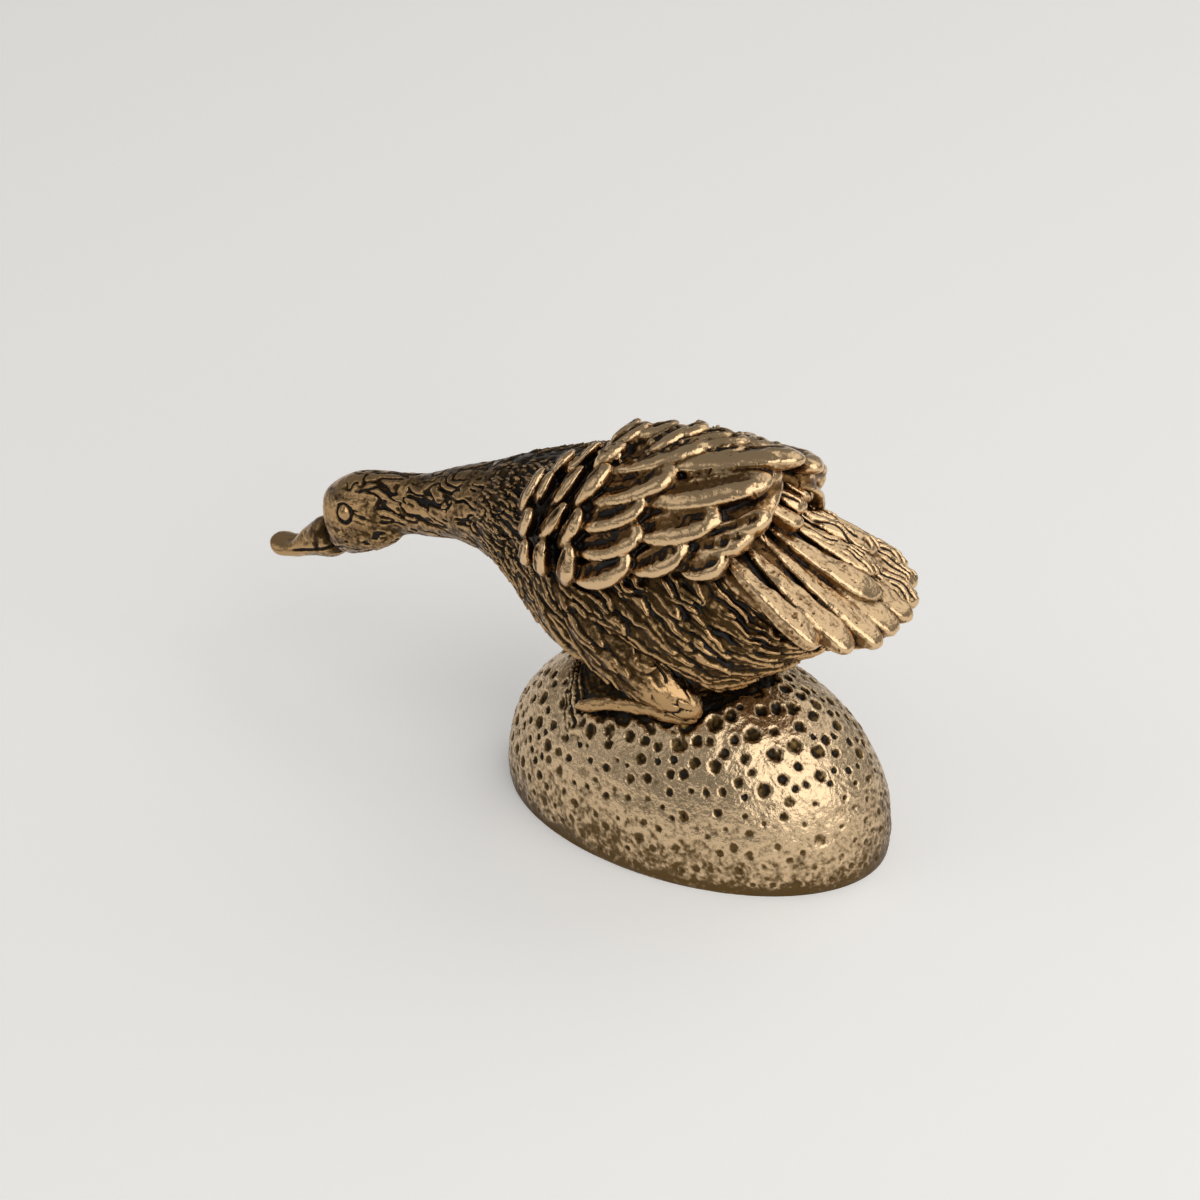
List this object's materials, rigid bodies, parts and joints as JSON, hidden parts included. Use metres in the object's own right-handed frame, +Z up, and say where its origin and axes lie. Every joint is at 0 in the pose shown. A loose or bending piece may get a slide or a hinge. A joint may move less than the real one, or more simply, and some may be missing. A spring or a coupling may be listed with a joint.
{
  "type": "goose figurine",
  "caption": "Small free-standing brass ornament: a crouching goose with a low outstretched neck and folded wings on a hammered egg with a flat foot.",
  "frame": {"origin": "centre of the egg's flat foot, on the surface it stands on", "axes": "+X towards the tail, so the bill points along -X; the goose's left side faces -Y; +Z up"},
  "size_m": [0.0574, 0.021, 0.034],
  "materials": {
    "antique_brass": "cast, darkened and wiped back",
    "polished_brass": "cast, darkened and polished on its ridges",
    "hammered_brass": "dimpled, darkened and wiped back",
    "dowel_brass": "plain drawn rod"
  },
  "bodies": {
    "root": {"egg_base": "hammered_brass", "body": "antique_brass", "neck_and_head": "antique_brass", "left_wing": "polished_brass", "right_wing": "polished_brass", "tail_fan": "polished_brass", "left_leg": "antique_brass", "right_leg": "antique_brass", "neck_dowel": "dowel_brass", "left_wing_dowel": "dowel_brass", "right_wing_dowel": "dowel_brass", "tail_dowel": "dowel_brass", "belly_dowel": "dowel_brass", "left_leg_dowel": "dowel_brass", "right_leg_dowel": "dowel_brass"}
  },
  "joints": []
}
